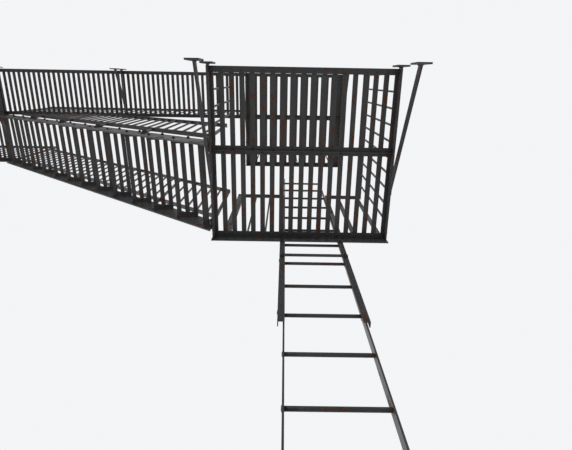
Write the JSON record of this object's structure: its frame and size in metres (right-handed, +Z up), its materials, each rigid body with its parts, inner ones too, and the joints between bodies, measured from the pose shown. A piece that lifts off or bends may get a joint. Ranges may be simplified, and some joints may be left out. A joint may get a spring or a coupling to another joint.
{
  "type": "fire escape stair",
  "caption": "Wall-mounted iron fire escape with a slatted landing, a drop ladder in guides, an open flight with sloping railings and an upper balcony on brackets.",
  "frame": {"origin": "on the back of the arm's wall plate of the lower left bracket, at the plate's centre", "axes": "+X to the right along the wall as seen from the street, +Y into the wall, +Z up"},
  "size_m": [5.063, 1.1823, 6.0114],
  "materials": {
    "black_iron": "weathered black paint with rust spots",
    "worn_iron": "black paint worn by feet",
    "ladder_iron": "black paint, rubbed along the edges"
  },
  "bodies": {
    "fire_escape": {"lower_front_angle": "black_iron", "lower_wall_angle": "black_iron", "lower_end_angle_left": "black_iron", "lower_end_angle_right": "black_iron", "lower_cross_bar": "black_iron", "lower_slats": "worn_iron", "lower_bracket_left": "black_iron", "lower_bracket_right": "black_iron", "lower_front_railing_left": "black_iron", "lower_front_railing_right": "black_iron", "lower_end_railing": "black_iron", "lower_stair_side_railing": "black_iron", "ladder_guides": "black_iron", "guide_keepers": "black_iron", "guide_tie": "black_iron", "stair_inner_stringer": "black_iron", "stair_outer_stringer": "black_iron", "stair_treads": "worn_iron", "stair_inner_railing": "black_iron", "stair_outer_railing": "black_iron", "upper_wall_angle": "black_iron", "bay_front_angle": "black_iron", "landing_front_angle": "black_iron", "walkway_edge_angle": "black_iron", "upper_end_angle_left": "black_iron", "bay_edge_angle": "black_iron", "landing_edge_angle": "black_iron", "upper_end_angle_right": "black_iron", "bay_cross_bar": "black_iron", "landing_cross_bar": "black_iron", "bay_slats": "worn_iron", "walkway_slats": "worn_iron", "landing_slats": "worn_iron", "upper_bracket_left": "black_iron", "bay_edge_bracket": "black_iron", "walkway_bracket": "black_iron", "landing_edge_bracket": "black_iron", "upper_bracket_right": "black_iron", "bay_front_railing": "black_iron", "landing_front_railing": "black_iron", "upper_end_railing_left": "black_iron", "upper_end_railing_right": "black_iron", "walkway_railing": "black_iron", "bay_edge_railing": "black_iron"},
    "drop_ladder": {"ladder_rails": "ladder_iron", "ladder_rungs": "ladder_iron"}
  },
  "joints": [
    {"name": "drop_ladder_slide", "type": "slide", "parent": "fire_escape", "child": "drop_ladder", "axis": [0, 0, -1], "range_m": [0, 1.7]}
  ]
}
